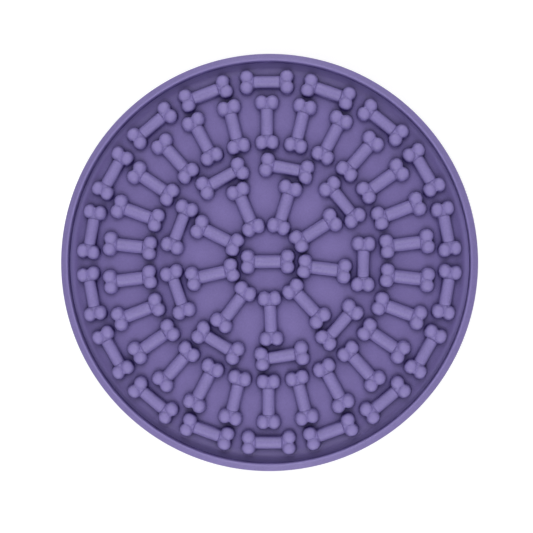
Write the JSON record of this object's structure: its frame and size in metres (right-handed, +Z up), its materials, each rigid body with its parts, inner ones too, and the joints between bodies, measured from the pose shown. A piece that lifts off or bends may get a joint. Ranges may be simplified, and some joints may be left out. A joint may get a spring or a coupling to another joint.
{
  "type": "lick mat",
  "caption": "Round silicone lick mat for pets: a thin disc with a raised rim, rings of bone-shaped ridges that hold spread, and suction cups underneath.",
  "frame": {"origin": "on the floor under the middle of the mat, in the plane of the suction cups' lips", "axes": "+Z up, out of the licking side; +X along the centre bone"},
  "size_m": [0.2008, 0.2008, 0.0101],
  "materials": {
    "silicone": "matte, soft"
  },
  "bodies": {
    "root": {"base_disc": "silicone", "rim_wall": "silicone", "centre_bone": "silicone", "inner_spoke_bone_1": "silicone", "inner_spoke_bone_2": "silicone", "inner_spoke_bone_3": "silicone", "inner_spoke_bone_4": "silicone", "inner_spoke_bone_5": "silicone", "inner_spoke_bone_6": "silicone", "inner_spoke_bone_7": "silicone", "inner_spoke_bone_8": "silicone", "inner_spoke_bone_9": "silicone", "middle_ring_bone_1": "silicone", "middle_ring_bone_2": "silicone", "middle_ring_bone_3": "silicone", "middle_ring_bone_4": "silicone", "middle_ring_bone_5": "silicone", "middle_ring_bone_6": "silicone", "middle_ring_bone_7": "silicone", "middle_ring_bone_8": "silicone", "middle_ring_bone_9": "silicone", "outer_spoke_bone_pair_1": "silicone", "outer_spoke_bone_pair_2": "silicone", "outer_spoke_bone_pair_3": "silicone", "outer_spoke_bone_pair_4": "silicone", "outer_spoke_bone_pair_5": "silicone", "outer_spoke_bone_pair_6": "silicone", "outer_spoke_bone_pair_7": "silicone", "outer_spoke_bone_pair_8": "silicone", "outer_spoke_bone_pair_9": "silicone", "outer_spoke_bone_pair_10": "silicone", "outer_spoke_bone_pair_11": "silicone", "outer_spoke_bone_pair_12": "silicone", "outer_spoke_bone_pair_13": "silicone", "outer_ring_bone_1": "silicone", "outer_ring_bone_2": "silicone", "outer_ring_bone_3": "silicone", "outer_ring_bone_4": "silicone", "outer_ring_bone_5": "silicone", "outer_ring_bone_6": "silicone", "outer_ring_bone_7": "silicone", "outer_ring_bone_8": "silicone", "outer_ring_bone_9": "silicone", "outer_ring_bone_10": "silicone", "outer_ring_bone_11": "silicone", "outer_ring_bone_12": "silicone", "outer_ring_bone_13": "silicone", "outer_ring_bone_14": "silicone", "outer_ring_bone_15": "silicone", "outer_ring_bone_16": "silicone", "outer_ring_bone_17": "silicone", "outer_ring_bone_18": "silicone", "centre_suction_cup": "silicone", "inner_suction_cups": "silicone", "outer_suction_cups": "silicone"}
  },
  "joints": []
}
